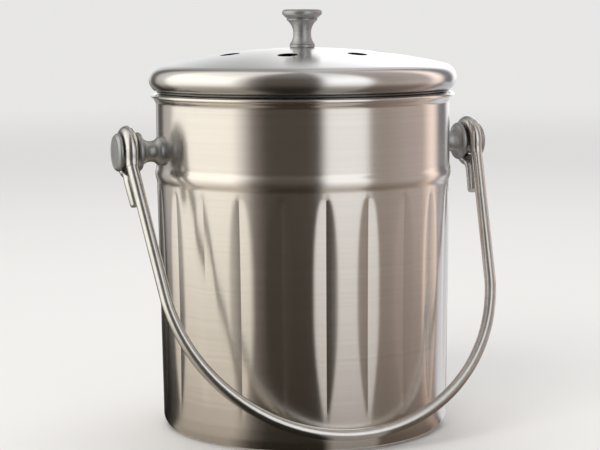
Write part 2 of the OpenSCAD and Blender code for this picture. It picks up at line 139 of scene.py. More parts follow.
class CaddyBailSizes(bpy.types.PropertyGroup):
    """Sizes of the lugs and of the bail that hangs on them."""

    axis_height: size("Axis height", "Height of the lugs' axis", 133.8, 130, 138)
    lug_length: size("Lug length", "Length of a lug out from the wall", 22.7, 22, 25)
    wire: size("Wire", "Radius of the bail's wire", 2.7, 2.4, 2.9)
    eye_wire: size("Eye wire", "Radius of the wire at the eyes", 3, 2.95, 3.1)
    eye: size("Eye", "Radius of an eye's middle line", 9.5, 9, 10)
    eye_offset: size("Eye place", "Distance from the can's axis to an eye", 86.75, 85, 88)
    reach: size("Reach", "Distance from the lugs' axis to the bow's lowest point", 144.1, 142, 147)
    bow: size("Bow", "Radius of the bow", 81, 80, 83)
    plane_offset: size("Plane offset", "Offset of the bail's plane from the axis", 6.5, 5.5, 7.5)
    hang: angle("Hang", "Slope of the hanging bail from upright", 27.05, 20, 35)


class CaddyColours(bpy.types.PropertyGroup):
    """Main colours of the finishes."""

    can: colour("Can", "Brushed steel of the can", (0.80, 0.765, 0.72))
    lid: colour("Lid", "Brushed steel of the lid", (0.82, 0.805, 0.78))
    cast: colour("Cast metal", "Satin casting of the knob and lugs", (0.47, 0.485, 0.49))
    wire: colour("Wire", "Drawn steel wire of the bail", (0.70, 0.69, 0.665))
    grille: colour("Grille", "Moulded filter holder", (0.055, 0.058, 0.06))
    carbon: colour("Filter", "Charcoal filter pad", (0.022, 0.022, 0.023))
    floor: colour("Floor", "Pale studio floor", (0.80, 0.785, 0.77))


class Signal:
    """A number inside a finish. Sums, products and powers of it add Math nodes."""

    def __init__(self, bench, socket):
        self.bench = bench
        self.socket = socket

    def math(self, operation, *values):
        return self.bench.node("ShaderNodeMath", {"operation": operation}, dict(enumerate(values)))

    def __add__(self, other):
        return self.math("ADD", self, other)

    def __radd__(self, other):
        return self.math("ADD", other, self)

    def __sub__(self, other):
        return self.math("SUBTRACT", self, other)

    def __rsub__(self, other):
        return self.math("SUBTRACT", other, self)

    def __mul__(self, other):
        return self.math("MULTIPLY", self, other)

    def __rmul__(self, other):
        return self.math("MULTIPLY", other, self)

    def __truediv__(self, other):
        return self.math("DIVIDE", self, other)

    def __pow__(self, other):
        return self.math("POWER", self, other)

    def smooth(self, low, high):
        """0 below low and 1 above high, with a soft step between them."""
        return self.bench.node(
            "ShaderNodeMapRange", {"interpolation_type": "SMOOTHSTEP"}, {0: self, 1: low, 2: high}
        )


class Bench:
    """A finish being made: a material and the nodes added to it."""

    def __init__(self, name):
        self.material = bpy.data.materials.new(name)
        self.material.use_nodes = True
        self.tree = self.material.node_tree
        self.tree.nodes.clear()

    def node(self, kind, settings=None, inputs=None, output=0):
        """Adds a node, sets it, fills its sockets with values or links, and returns one of its outputs."""
        made = self.tree.nodes.new(kind)
        for key, value in (settings or {}).items():
            if key == "stops":
                self.set_stops(made.color_ramp, value)
            else:
                setattr(made, key, value)
        for key, value in (inputs or {}).items():
            if isinstance(value, Signal):
                self.tree.links.new(value.socket, made.inputs[key])
            else:
                made.inputs[key].default_value = value
        return Signal(self, made.outputs[output]) if made.outputs else None

    def set_stops(self, ramp, stops):
        """Sets a colour ramp's stops, first their places and then their colours."""
        while len(ramp.elements) < len(stops):
            ramp.elements.new(0.5)
        for element, (place, _) in zip(ramp.elements, stops):
            element.position = place
        for element, (_, value) in zip(ramp.elements, stops):
            element.color = (*value, 1)

    def place(self):
        """The point being shaded, in the caddy's own frame: X, Y and Z."""
        point = self.node("ShaderNodeTexCoord", output="Object")
        return [self.node("ShaderNodeSeparateXYZ", None, {0: point}, i) for i in range(3)]

    def join(self, x, y, z):
        """A point or a colour from three numbers."""
        return self.node("ShaderNodeCombineXYZ", None, {0: x, 1: y, 2: z})

    def noise(self, vector, scale, detail, rough):
        """Soft noise at a point, most of it between 0.3 and 0.7."""
        return self.node(
            "ShaderNodeTexNoise", None,
            {"Vector": vector, "Scale": scale, "Detail": detail, "Roughness": rough},
        )

    def blend(self, factor, first, second):
        """A colour between two colours."""
        return self.node(
            "ShaderNodeMix", {"data_type": "RGBA"},
            {0: factor, 6: first, 7: second}, 2,
        )

    def multiply(self, first, second):
        """Two colours, multiplied channel by channel."""
        return self.node(
            "ShaderNodeMix", {"data_type": "RGBA", "blend_type": "MULTIPLY"},
            {0: 1.0, 6: first, 7: second}, 2,
        )

    def bump(self, height, strength, distance):
        """A normal tilted by a height."""
        return self.node(
            "ShaderNodeBump", None, {"Height": height, "Strength": strength, "Distance": distance}
        )

    def finish(self, **inputs):
        """Ends the finish with a Principled shader, and returns the material."""
        named = {key.replace("_", " "): value for key, value in inputs.items()}
        shader = self.node("ShaderNodeBsdfPrincipled", None, named)
        self.node("ShaderNodeOutputMaterial", None, {0: shader})
        return self.material


def shade(value, factor):
    """A colour made darker or lighter by a factor."""
    return tuple(min(1.0, c * factor) for c in value) + (1.0,)


def turned_steel(name, base, grain, level, anisotropy, edge=None):
    """Sheet steel with fine brushing that runs round the caddy's axis.

    Where an edge's height is given, the metal under it is painted darker, as shade under the edge.
    """
    bench = Bench(name)
    x, y, z = bench.place()
    along = (x * x + y * y) ** 0.5 - z
    fine = bench.noise(bench.join(x * 9, y * 9, along * grain), scale=1, detail=2, rough=0.5)
    broad = bench.noise(bench.join(x * 4, y * 4, along * grain * 0.2), scale=1, detail=2, rough=0.5)
    cloud = bench.noise(bench.join(x, y, z), scale=26, detail=3, rough=0.55)
    lines = fine * 0.55 + broad * 0.45
    tone = lines * 0.7 + cloud * 0.3
    face = bench.blend(tone.smooth(0.3, 0.7), shade(base, 0.965), shade(base, 1.035))
    if edge:
        # Painted shade: below the edge's height the colour is blended towards near black
        below, well_below = 0.4 * MM, 2.6 * MM
        shade_under_edge = (z * -1).smooth(below - edge, well_below - edge)
        face = bench.blend(shade_under_edge * 0.42, face, shade(base, 0.02))
    rough = level + (lines - 0.5) * 0.07 + (cloud - 0.5) * 0.05
    return bench.finish(
        Base_Color=face, Metallic=1.0, Roughness=rough, Anisotropic=anisotropy, Anisotropic_Rotation=0.25,
        Normal=bench.bump(fine, strength=0.03, distance=0.02 * MM),
    )


def cast_metal(name, base, turned):
    """Satin die-cast metal: a fine grain, soft flow marks, and rings from the lathe where it was turned."""
    bench = Bench(name)
    x, y, z = bench.place()
    point = bench.join(x, y, z)
    grain = bench.noise(point, scale=2600, detail=3, rough=0.6)
    flow = bench.noise(point, scale=170, detail=3, rough=0.6)
    rings = bench.noise(bench.join(x * 12, y * 12, z * 1100), scale=1, detail=2, rough=0.6)
    marks = grain * (1 - turned) + rings * turned
    face = bench.blend((flow * 0.5 + marks * 0.5).smooth(0.3, 0.7), shade(base, 0.92), shade(base, 1.08))
    return bench.finish(
        Base_Color=face, Metallic=1.0, Roughness=0.42 + flow * 0.06 + (marks - 0.5) * 0.1,
        Normal=bench.bump(marks * 0.8 + flow * 0.2, strength=0.12 + 0.3 * turned, distance=0.06 * MM),
    )


def drawn_wire(name, base):
    """Drawn steel wire, satin, with faint handling marks."""
    bench = Bench(name)
    x, y, z = bench.place()
    point = bench.join(x, y, z)
    grain = bench.noise(point, scale=1800, detail=3, rough=0.6)
    marks = bench.noise(point, scale=90, detail=4, rough=0.65)
    face = bench.blend((marks * 0.6 + grain * 0.4).smooth(0.3, 0.7), shade(base, 0.88), shade(base, 1.08))
    return bench.finish(
        Base_Color=face, Metallic=1.0, Roughness=0.18 + marks * 0.12 + (grain - 0.5) * 0.05,
        Normal=bench.bump(grain, strength=0.03, distance=0.02 * MM),
    )


def plain_metal(name, base, level, scale):
    """Plain pressed or turned steel with a soft, uneven sheen."""
    bench = Bench(name)
    x, y, z = bench.place()
    along = (x * x + y * y) ** 0.5 - z
    lines = bench.noise(bench.join(x * 20, y * 20, along * scale), scale=1, detail=3, rough=0.6)
    cloud = bench.noise(bench.join(x, y, z), scale=60, detail=3, rough=0.6)
    face = bench.blend((lines * 0.5 + cloud * 0.5).smooth(0.3, 0.7), shade(base, 0.85), shade(base, 1.06))
    return bench.finish(
        Base_Color=face, Metallic=1.0, Roughness=level + (lines - 0.5) * 0.14 + (cloud - 0.5) * 0.1,
        Normal=bench.bump(lines, strength=0.1, distance=0.05 * MM),
    )


def moulded_plastic(name, base):
    """Moulded plastic with a fine spark-eroded grain."""
    bench = Bench(name)
    x, y, z = bench.place()
    point = bench.join(x, y, z)
    grain = bench.noise(point, scale=2400, detail=2, rough=0.6)
    cloud = bench.noise(point, scale=70, detail=3, rough=0.6)
    face = bench.blend(cloud.smooth(0.3, 0.7), shade(base, 0.85), shade(base, 1.2))
    return bench.finish(
        Base_Color=face, Roughness=0.46 + (cloud - 0.5) * 0.14 + (grain - 0.5) * 0.1,
        Normal=bench.bump(grain, strength=0.35, distance=0.12 * MM),
    )


def carbon_foam(name, base):
    """Open foam loaded with charcoal: pores and matted fibres."""
    bench = Bench(name)
    x, y, z = bench.place()
    point = bench.join(x, y, z)
    pores = bench.node("ShaderNodeTexVoronoi", {"feature": "F1"}, {"Vector": point, "Scale": 620.0})
    matted = bench.noise(point, scale=900, detail=4, rough=0.7)
    height = pores * 0.7 + matted * 0.5
    # The colour follows the height: the pores are painted darker, as shade in them, and the matted fibres
    # vary the foam's tone
    face = bench.blend(height.smooth(0.25, 0.8), shade(base, 0.4), shade(base, 1.9))
    return bench.finish(
        Base_Color=face, Roughness=0.82 + (matted - 0.5) * 0.2,
        Normal=bench.bump(height, strength=0.9, distance=0.6 * MM),
    )


def arc(centre, radius, start, end, count):
    """Points of (radius, height) along an arc, from start to end in degrees."""
    turns = [math.radians(start + (end - start) * i / count) for i in range(count + 1)]
    return [(centre[0] + radius * math.cos(t), centre[1] + radius * math.sin(t)) for t in turns]


def steps(first, last, count):
    """Points evenly spaced between two points, without the first and the last."""
    return [
        tuple(a + (b - a) * i / count for a, b in zip(first, last)) for i in range(1, count)
    ]


def lathe(name, outline, count, start=0.0):
    """Turns an outline of (radius, height) points round the Z axis, in count steps from an angle."""
    bpy.ops.object.select_all(action="DESELECT")
    turn = Matrix.Rotation(start, 3, "Z")
    points = [turn @ Vector((r, 0, z)) for r, z in outline]
    bpy.ops.mesh.primitive_plane_add(size=MM, location=points[0])
    piece = bpy.context.object
    piece.name = name
    bpy.ops.object.transform_apply(location=True, rotation=False, scale=False)
    bpy.ops.object.mode_set(mode="EDIT")
    bpy.ops.mesh.select_all(action="SELECT")
    bpy.ops.mesh.merge(type="CENTER")
    for here, there in zip(points, points[1:]):
        bpy.ops.mesh.extrude_vertices_move(TRANSFORM_OT_translate={"value": there - here})
    bpy.ops.mesh.select_all(action="SELECT")
    bpy.ops.mesh.remove_doubles(threshold=OUTLINE_MERGE)
    bpy.ops.object.mode_set(mode="OBJECT")
    bpy.ops.object.modifier_add(type="SCREW")
    turned = piece.modifiers[-1]
    turned.axis, turned.angle, turned.use_merge_vertices = "Z", 2 * math.pi, True
    turned.steps = turned.render_steps = count
    turned.merge_threshold = SCREW_MERGE
    bpy.ops.object.modifier_apply(modifier=turned.name)
    bpy.ops.object.mode_set(mode="EDIT")
    bpy.ops.mesh.select_all(action="SELECT")
    bpy.ops.mesh.remove_doubles(threshold=TURNED_MERGE)
    bpy.ops.mesh.normals_make_consistent(inside=False)
    bpy.ops.object.mode_set(mode="OBJECT")
    return piece


def pick_only(piece):
    """Selects one object and makes it the active one."""
    bpy.ops.object.select_all(action="DESELECT")
    piece.select_set(True)
    bpy.context.view_layer.objects.active = piece


def settle(piece, material, body, nodes, smooth=35):
    """Gives a finished piece its smoothing, its finish, and its place on the frame."""
    pick_only(piece)
    bpy.ops.object.transform_apply(location=True, rotation=True, scale=True)
    bpy.ops.object.shade_smooth_by_angle(angle=math.radians(smooth))
    piece.data.materials.clear()
    piece.data.materials.append(material)
    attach(piece, body)
    if nodes:
        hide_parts(*nodes)


def wall_line(can, height):
    """Outer radius of the leaning wall under the ring, at a height."""
    top = can.ring_height - RING_HALF
    return can.radius - can.taper * (top - height) / (top - can.corner)


def wall_rows(can, lowest, highest):
    """Heights of the wall's rows of points, closest together where the flutes' upper ends close."""
    foot_rows, middle_rows, top_rows, crowding = 18, 4, 25, 1.6
    foot_end = can.flute_foot + can.foot_run
    middle = can.flute_top - can.top_run - can.flute_foot - can.foot_run
    rows = [can.flute_foot - 3 * MM]
    rows += [can.flute_foot + can.foot_run * i / foot_rows for i in range(-1, foot_rows + 1)]
    rows += [foot_end + middle * i / middle_rows for i in range(1, middle_rows)]
    rows += [can.flute_top - can.top_run * (1 - i / top_rows) ** crowding for i in range(top_rows + 1)]
    return [z for z in rows if lowest < z < highest]


def can_outline(can):
    """Outline of the can: outside from the base's middle up to the lip, then back down inside."""
    r, t, ring = can.radius, can.sheet, can.ring_height
    corner = (r - can.taper - can.corner, can.corner)
    lean = math.degrees(math.atan(can.taper / (ring - can.corner)))
    panel, rise, panel_edge, foot_flat = corner[0] - 9.5 * MM, 1.5 * MM, 2.2 * MM, 1.5 * MM
    ring_turn = 2 * math.degrees(math.atan(RING_OUT / RING_HALF))
    hollow = RING_HALF / math.sin(math.radians(ring_turn)) - RING_ARC
    hem_r, hem_start, hem_end = 0.9 * MM, -108.6, 198.6
    hem = (r + 1.4 * MM, can.height - hem_r)
    flare_r = 2.5 * MM
    flare = (r + flare_r, can.height - 4.67 * MM)

    def base(depth):
        fold = depth * math.tan(math.radians(22.5))
        return (
            [(0, rise + depth), (panel * 0.5, rise + depth)]
            + arc((panel - 1 * MM + fold, rise + depth - panel_edge), panel_edge, 90, 48, 4)
            + [(panel + rise + fold, depth), (panel + rise + fold + foot_flat, depth)]
            + arc(corner, can.corner - depth, -90, -lean, 9)
        )

    def upper(depth):
        return (
            arc((r + hollow, ring - RING_HALF), hollow + depth, 180, 180 - ring_turn, 4)
            + arc((r + RING_OUT - RING_ARC, ring), RING_ARC - depth, -ring_turn, ring_turn, 12)[1:]
            + arc((r + hollow, ring + RING_HALF), hollow + depth, 180 + ring_turn, 180, 4)[1:]
            + steps((r - depth, ring + RING_HALF), (r - depth, flare[1]), 5)
            + arc(flare, flare_r + depth, 180, 135, 7)
        )

    outside, inside = base(0), base(t)
    rows = wall_rows(can, outside[-1][1] + 0.5 * MM, ring - RING_HALF - 0.3 * MM)
    wall = [(wall_line(can, z), z) for z in rows]
    wall_in = [(radius - t, z) for radius, z in wall]
    rim = arc(hem, hem_r, hem_start, hem_end, 22)
    return outside + wall + upper(0) + rim + upper(t)[::-1] + wall_in[::-1] + inside[::-1]


def off_crease(can, turn):
    """Angle from the nearest flute's crease to a direction round the wall, to either side."""
    pitch = 2 * math.pi / can.flutes
    return (turn - can.flute_turn + math.pi / 2 + pitch / 2) % pitch - pitch / 2


def flute_weight(can, turn, height):
    """Depth of the flutes at a place on the wall, as a share of the deepest."""
    furthest = 1.3
    across = abs(off_crease(can, turn)) * can.radius
    foot_fade = max(0.0, can.flute_foot + can.foot_run - height) / can.foot_run
    top_fade = max(0.0, height - can.flute_top + can.top_run) / can.top_run
    share = min(1 - foot_fade**2, max(0.0, 1 - top_fade**2) ** can.bluntness)
    slope = can.flute_depth / can.flute_half
    soft = slope * can.flute_blend
    left = can.flute_depth * share - slope * across
    if max(foot_fade, top_fade) > furthest or left < -soft:
        return 0.0
    depth = left if left > soft else (left + soft) ** 2 / (4 * soft)
    return depth / can.flute_depth


def sharpen_creases(mesh, can):
    """Marks the flutes' creases sharp: upright edges at the middle of a flute."""
    near = 0.02 * 2 * math.pi / can.flutes
    lowest, highest = can.flute_foot + 2 * MM, can.flute_top - 1 * MM
    for item in (*mesh.vertices, *mesh.polygons):
        item.select = False
    for edge in mesh.edges:
        a, b = (mesh.vertices[i].co for i in edge.vertices)
        middle = (a + b) / 2
        across = off_crease(can, math.atan2(middle.y, middle.x))
        creased = abs(across) < near and abs(a.z - b.z) > 0.2 * MM
        edge.select = creased and lowest < middle.z < highest
    bpy.ops.object.mode_set(mode="EDIT")
    bpy.ops.mesh.select_mode(type="EDGE")
    bpy.ops.mesh.mark_sharp()
    bpy.ops.mesh.select_mode(type="VERT")
    bpy.ops.object.mode_set(mode="OBJECT")


def press_flutes(piece, can):
    """Presses the flutes into both faces of the wall, and keeps their creases sharp."""
    sides = {"Outside": -can.flute_depth, "Inside": can.flute_depth}
    groups = {side: piece.vertex_groups.new(name=side) for side in sides}
    for v in piece.data.vertices:
        x, y, z = v.co
        if not can.flute_foot - 6 * MM < z < can.ring_height - RING_HALF:
            continue
        weight = flute_weight(can, math.atan2(y, x), z)
        if weight > 0:
            outer = math.hypot(x, y) > wall_line(can, z) - can.sheet / 2
            groups["Outside" if outer else "Inside"].add([v.index], weight, "REPLACE")
    pick_only(piece)
    for side, strength in sides.items():
        bpy.ops.object.modifier_add(type="DISPLACE")
        press = piece.modifiers[-1]
        press.direction, press.mid_level = "NORMAL", 0.0
        press.vertex_group, press.strength = side, strength
        bpy.ops.object.modifier_apply(modifier=press.name)
    sharpen_creases(piece.data, can)


class CADDY_OT_can(bpy.types.Operator):
    """Model the fluted can with its rolled ring and hemmed lip"""

    bl_idname = "caddy.can"
    bl_label = "Fluted can"

    def execute(self, context):
        can, base = context.scene.caddy_can, context.scene.caddy_colours.can
        count = can.flutes * FLUTE_STEPS
        piece = lathe("fluted_can", can_outline(can), count, can.flute_turn - math.pi / 2)
        press_flutes(piece, can)
        material = turned_steel("brushed_can", base, grain=3200, level=0.23, anisotropy=0.85)
        settle(piece, material, "pail", ["pail_body"], 50)
        return {"FINISHED"}


def dome_radius(lid):
    """Radius of the dome, which runs into the rolled edge without a kink."""
    reach = lid.radius - lid.roll
    return (reach**2 + lid.dome**2 - lid.roll**2) / (2 * (lid.dome - lid.roll))


def lid_outline(lid, sheet):
    """Outline of the lid: dome and rolled edge outside, then back inside."""
    roll, dome_r = (lid.radius - lid.roll, lid.roll_height), dome_radius(lid)
    dome = (0, lid.roll_height + lid.dome - dome_r)
    meet, roll_end = 90 - math.degrees(math.asin(roll[0] / (dome_r - lid.roll))), -120

    def face(depth):
        return arc(dome, dome_r - depth, 90, meet, 30) + arc(roll, lid.roll - depth, meet, roll_end, 46)[1:]

    return face(0) + face(sheet)[::-1]


def punch(piece, radius, places):
    """Cuts round holes square through the dome.

    Each tool widens under the dome's face, so that the hole shows dark right up to its edge.
    """
    above, below, spread = 3 * MM, 0.15 * MM, 2 * MM
    foot = -below - spread
    outline = [(0, above), (radius, above), (radius, -below), (radius + spread, foot), (0, foot)]
    tools = []
    for place, turn, tilt in places:
        tool = lathe("punch", outline, 64)
        tool.rotation_euler = (0, tilt, turn)
        tool.location = place
        tools.append(tool)
    bpy.ops.object.select_all(action="DESELECT")
    for tool in tools:
        tool.select_set(True)
    bpy.context.view_layer.objects.active = tools[0]
    bpy.ops.object.join()
    pick_only(piece)
    bpy.ops.object.modifier_add(type="BOOLEAN")
    cut = piece.modifiers[-1]
    cut.operation, cut.solver, cut.object = "DIFFERENCE", "EXACT", tools[0]
    bpy.ops.object.modifier_apply(modifier=cut.name)
    pick_only(tools[0])
    bpy.ops.object.delete()


class CADDY_OT_lid(bpy.types.Operator):
    """Model the domed lid with its rolled edge and vent holes"""

    bl_idname = "caddy.lid"
    bl_label = "Domed lid"

    def execute(self, context):
        lid, base = context.scene.caddy_lid, context.scene.caddy_colours.lid
        piece = lathe("domed_lid", lid_outline(lid, context.scene.caddy_can.sheet), 288)
        reach = dome_radius(lid)
        tilt = math.asin(lid.vent_circle / reach)
        height = lid.roll_height + lid.dome - reach + reach * math.cos(tilt)
        turns = [lid.vent_turn - math.pi / 2 + i * 2 * math.pi / lid.vents for i in range(lid.vents)]
        punch(piece, lid.vent, [
            ((lid.vent_circle * math.cos(t), lid.vent_circle * math.sin(t), height), t, tilt) for t in turns
        ])
        # The rolled edge gets painted shade below its middle
        material = turned_steel(
            "brushed_lid", base, grain=3200, level=0.21, anisotropy=0.55, edge=lid.roll_height
        )
        settle(piece, material, "lid", ["lid_shell"], 40)
        return {"FINISHED"}


def knob_outline(lid):
    """Outline of the spool-shaped knob above the dome's crown: foot, waist, step and round-edged head."""
    base = lid.roll_height + lid.dome
    top = base + lid.knob_height
    waist, low_bend, high_bend = 4.25 * MM, 7 * MM, 7.5 * MM
    foot_edge, step_edge, head_edge = 0.4 * MM, 0.4 * MM, 1.55 * MM
    head = (lid.knob - head_edge, top - 1.65 * MM)
    return (
        [(0, base + 0.02 * MM), (5.6 * MM, base)]
        + arc((5.5 * MM, base + 0.5 * MM), 0.5 * MM, -80, 0, 4)
        + [(6.0 * MM, base + 1.1 * MM)]
        + arc((5.6 * MM, base + 1.1 * MM), foot_edge, 0, 70, 4)
        + arc((waist + low_bend, base + 6.4 * MM), low_bend, 221, 180, 14)
        + arc((waist + high_bend, base + 7.0 * MM), high_bend, 179, 130, 18)
        + arc((7.05 * MM, base + 13.3 * MM), step_edge, -70, 60, 6)
        + [(7.1 * MM, base + 13.8 * MM), (7.2 * MM, base + 14.0 * MM), (7.7 * MM, base + 14.15 * MM)]
        + arc(head, head_edge, -62, 84, 18)
        + [(lid.knob - 3 * MM, top - 0.07 * MM), (4 * MM, top - 0.01 * MM), (0, top)]
    )


class CADDY_OT_knob(bpy.types.Operator):
    """Model the cast knob on the lid"""

    bl_idname = "caddy.knob"
    bl_label = "Knob"

    def execute(self, context):
        piece = lathe("spool_knob", knob_outline(context.scene.caddy_lid), 96)
        material = cast_metal("cast_knob", context.scene.caddy_colours.cast, turned=0.8)
        settle(piece, material, "lid", ["lid_knob"], 30)
        return {"FINISHED"}


def lug_outline(can, bail):
    """Outline of a lug along its axis: foot on the wall, neck, flange, groove for the eye, and cap."""
    wall, end = can.radius, can.radius + bail.lug_length
    cap = end - 2.7 * MM
    flange = cap - 9.7 * MM
    neck, low_bend, high_bend = 4.85 * MM, 3.6 * MM, 5.06 * MM
    foot_edge, flange_edge, cap_edge, rim = 0.7 * MM, 1.3 * MM, 1.1 * MM, 0.7 * MM
    groove, groove_edge = 6.6 * MM, 0.4 * MM
    flange_face = flange + 3.2 * MM
    return (
        [(0, wall - 0.5 * MM), (6.5 * MM, wall - 0.5 * MM), (6.7 * MM, wall + 0.5 * MM)]
        + arc((6.0 * MM, wall + 1.6 * MM), foot_edge, 0, 70, 6)
        + arc((neck + low_bend, wall + 5.3 * MM), low_bend, 233, 180, 9)
        + arc((neck + high_bend, flange - 4.5 * MM), high_bend, 179, 122, 12)
        + arc((7.8 * MM, flange + flange_edge), flange_edge, -95, 70, 12)
        + [(7.9 * MM, flange + 3.0 * MM), (7.6 * MM, flange_face), (groove, flange_face)]
        + arc((groove, flange_face + groove_edge), groove_edge, -90, -180, 4)
        + arc((groove, cap - groove_edge), groove_edge, 180, 90, 4)
        + [(7.4 * MM, cap)]
        + arc((7.75 * MM, cap + cap_edge), cap_edge, -85, 55, 12)
        + arc((7.5 * MM, end - 0.75 * MM), rim, 50, 100, 5)
        + [(7.0 * MM, end - 0.14 * MM), (6.0 * MM, end - 0.16 * MM)]
        + [(3.5 * MM, end - 0.06 * MM), (0, end - 0.02 * MM)]
    )


class CADDY_OT_lugs(bpy.types.Operator):
    """Model the two cast lugs that carry the bail"""

    bl_idname = "caddy.lugs"
    bl_label = "Lugs"

    def execute(self, context):
        can, bail = context.scene.caddy_can, context.scene.caddy_bail
        material = cast_metal("cast_lug", context.scene.caddy_colours.cast, turned=0.0)
        for side, turn in (("left", -math.pi / 2), ("right", math.pi / 2)):
            piece = lathe(side + "_spool_lug", lug_outline(can, bail), 96)
            piece.rotation_euler = (0, turn, 0)
            piece.location = (0, 0, bail.axis_height)
            settle(piece, material, "pail", [side + "_lug"], 30)
        return {"FINISHED"}


def turn_points(centre, radius, start, end, step=4.0):
    """Flat points along an arc in degrees, no more than a step apart."""
    count = max(1, math.ceil(abs(end - start) / step))
    return arc(centre, radius, start, end, count)


def out_of_eye(bail, end, way, bend, across, drop, lean):
    """Line of the wire from an eye's end down into a leg or a tail, leaning inwards."""
    away, turn, fine_step = bail.eye + bend, math.radians(end), 1.5
    centre = (away * math.cos(turn), away * math.sin(turn))
    down = turn_points(centre, bend, end - 180, 0 if way > 0 else -180)[1:]
    inwards = turn_points((bail.eye_offset - bend, -drop), bend, -lean / 6, -lean, fine_step)
    return [(bail.eye_offset, y, z) for y, z in down] + [(x, across, z) for x, z in inwards]


def bail_line(bail):
    """Middle line of the bail, from one cut tail to the other, and the wire's radius at each point."""
    leg_bend, tail_bend, tail_offset = 10 * MM, 7 * MM, 2.3 * MM
    tail_lean, tail_reach = 7.0, 25 * MM
    cut_radius, cut_edge, eye_end = bail.wire * 0.93, 0.06, 0.93
    leg_a = math.acos((bail.plane_offset + leg_bend) / (bail.eye + leg_bend))
    tail_a = math.acos((tail_offset + tail_bend) / (bail.eye + tail_bend))
    leg_drop = (bail.eye + leg_bend) * math.sin(leg_a)
    tail_drop = (bail.eye + tail_bend) * math.sin(tail_a)
    bow_drop = bail.reach - bail.bow
    run = (bail.eye_offset - leg_bend, bow_drop - leg_drop)
    lean = math.degrees(math.acos((bail.bow - leg_bend) / math.hypot(*run)) - math.atan2(run[1], run[0]))
    leg_a, tail_a = math.degrees(leg_a), math.degrees(tail_a)
    leg = out_of_eye(bail, 180 + leg_a, 1, leg_bend, -bail.plane_offset, leg_drop, lean)
    tail = out_of_eye(bail, -tail_a, -1, tail_bend, tail_offset, tail_drop, tail_lean)
    cut = Vector(tail[-1]) + (tail_reach - tail_drop) * Vector(
        (-math.sin(math.radians(tail_lean)), 0, -math.cos(math.radians(tail_lean)))
    )
    ring = [(bail.eye_offset, y, z) for y, z in turn_points((0, 0), bail.eye, -tail_a, 180 + leg_a)]
    side = [(tuple(cut), cut_radius), (tuple(cut.lerp(Vector(tail[-1]), cut_edge)), bail.wire)]
    side += [(p, bail.wire) for p in tail[::-1]]
    step = next(i for i, p in enumerate(leg) if p[2] < -leg_drop * eye_end)
    end, after = Vector(leg[step]), Vector(leg[step + 1])
    side += [(p, bail.eye_wire) for p in ring + leg[:step + 1]]
    side += [(tuple(end.lerp(after, 0.25)), bail.eye_wire * 0.99)]
    side += [(tuple(end.lerp(after, 0.35)), bail.wire)]
    side += [(p, bail.wire) for p in leg[step + 1:]]
    bow = [
        ((x, -bail.plane_offset, z), bail.wire)
        for x, z in turn_points((0, -bow_drop), bail.bow, -lean, lean - 180, 3)[1:-1]
    ]
    mirrored = [((-p[0], p[1], p[2]), r) for p, r in side[::-1]]
    return side + bow + mirrored


class CADDY_OT_bail(bpy.types.Operator):
    """Model the wire bail: tails, eyes round the lugs, legs and bow in one bent wire"""

    bl_idname = "caddy.bail"
    bl_label = "Wire bail"

    def execute(self, context):
        bail = context.scene.caddy_bail
        line = bail_line(bail)
        bpy.ops.object.select_all(action="DESELECT")
        bpy.ops.curve.primitive_bezier_curve_add(location=(0, 0, 0))
        piece = bpy.context.object
        piece.name = "wire_bail"
        curve = piece.data
        curve.splines.clear()
        spline = curve.splines.new("POLY")
        spline.points.add(len(line) - 1)
        for point, (place, radius) in zip(spline.points, line):
            point.co = (*place, 1)
            point.radius = radius / bail.wire
        curve.dimensions, curve.twist_mode = "3D", "MINIMUM"
        curve.bevel_depth, curve.bevel_resolution, curve.use_fill_caps = bail.wire, 8, True
        bpy.ops.object.convert(target="MESH")
        bpy.ops.object.mode_set(mode="EDIT")
        bpy.ops.mesh.select_all(action="SELECT")
        bpy.ops.mesh.remove_doubles(threshold=1e-6)
        bpy.ops.mesh.normals_make_consistent(inside=False)
        bpy.ops.object.mode_set(mode="OBJECT")
        piece.rotation_euler = (-bail.hang, 0, 0)
        piece.location = (0, 0, bail.axis_height)
        material = drawn_wire("drawn_wire", context.scene.caddy_colours.wire)
        settle(piece, material, "bail", ["bail_handle"], 40)
        return {"FINISHED"}


class CADDY_OT_filter(bpy.types.Operator):
    """Model the soft charcoal pad in the lid"""

    bl_idname = "caddy.filter"
    bl_label = "Filter pad"

    def execute(self, context):
        low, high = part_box("charcoal_filter")
        r, foot, top = high.x, low.z, high.z
        edge = 1.8 * MM
        outline = (
            [(0, foot), (r * 0.4, foot), (r * 0.8, foot)]
            + arc((r - edge, foot + edge), edge, -90, 0, 7)
            + steps((r, foot + edge), (r, top - edge), 4)
            + arc((r - edge, top - edge), edge, 0, 90, 7)
            + [(r * 0.8, top - 0.1 * MM), (r * 0.4, top), (0, top)]
        )
        piece = lathe("filter_pad", outline, 160)
        material = carbon_foam("carbon_foam", context.scene.caddy_colours.carbon)
        settle(piece, material, "retainer", ["charcoal_filter"], 60)
        return {"FINISHED"}


class CADDY_OT_metalwork(bpy.types.Operator):
    """Finish the liner, the filter's holder, the washers and the screws"""

    bl_idname = "caddy.metalwork"
    bl_label = "Inner pieces"

    def execute(self, context):
        screws = plain_metal("screw_steel", (0.55, 0.55, 0.56), level=0.32, scale=3000)
        finishes = {
            "lid_liner": plain_metal("pressed_steel", (0.66, 0.65, 0.63), level=0.3, scale=2200),
            "filter_retainer": moulded_plastic("grille_plastic", context.scene.caddy_colours.grille),
        }
        for node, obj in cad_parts.items():
            if obj.hide_render:
                continue
            obj.data.materials.clear()
            obj.data.materials.append(finishes.get(node, screws))
        return {"FINISHED"}


def glossy_only(obj):
    """A studio card that shows in reflections only."""
    obj.visible_camera = obj.visible_diffuse = obj.visible_shadow = False
    obj.visible_transmission = obj.visible_volume_scatter = False


